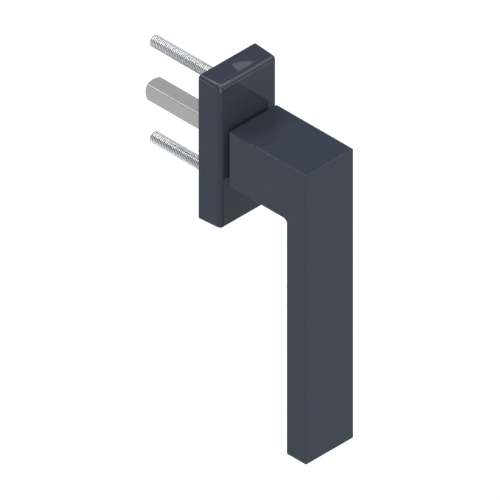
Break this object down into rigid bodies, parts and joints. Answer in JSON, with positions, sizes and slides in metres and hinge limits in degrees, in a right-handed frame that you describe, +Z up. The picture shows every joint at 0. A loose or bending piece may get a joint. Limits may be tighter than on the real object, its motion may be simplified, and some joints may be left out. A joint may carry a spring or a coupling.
{
  "type": "window handle",
  "caption": "Window handle with a flat bar grip on a square neck, a slim rectangular rosette, a square drive spindle and two fixing screws that reach into the sash.",
  "frame": {"origin": "where the spindle's axis meets the wall plane, which the rosette's back lies on", "axes": "+Z up along the rosette, +Y into the window sash along the spindle, -Y into the room"},
  "size_m": [0.03, 0.0916, 0.149],
  "materials": {
    "powder_coat": "semi-gloss anthracite powder coat",
    "plated_steel": "zinc-plated steel",
    "cast_zinc": "raw zinc die casting",
    "white_nylon": "natural nylon",
    "black_nylon": "black nylon",
    "sintered_steel": "oiled sintered steel",
    "spring_steel": "blued spring steel"
  },
  "bodies": {
    "rosette": {"base_plate": "cast_zinc", "bearing_bush": "white_nylon", "glide_ring": "black_nylon", "support_plate": "plated_steel", "detent_spring_left": "spring_steel", "detent_spring_right": "spring_steel", "cover_clip_upper": "spring_steel", "cover_clip_lower": "spring_steel", "screw_upper": "plated_steel", "screw_lower": "plated_steel"},
    "cover": {"rosette_cover": "powder_coat", "centering_ring": "black_nylon"},
    "lever": {"handle": "powder_coat", "index_cam": "sintered_steel", "wave_washer": "spring_steel", "thrust_washer": "plated_steel", "retaining_ring": "spring_steel", "spindle": "plated_steel", "spindle_clip": "spring_steel"}
  },
  "joints": [
    {"name": "lever_turn", "type": "hinge", "parent": "rosette", "child": "lever", "pos_m": [0, 0, 0], "axis": [0, 1, 0], "continuous": true, "deforming": ["detent_spring_left", "detent_spring_right"]},
    {"name": "cover_lift", "type": "slide", "parent": "rosette", "child": "cover", "axis": [0, -1, 0], "range_m": [0, 0.0019], "deforming": ["cover_clip_upper", "cover_clip_lower"]}
  ]
}
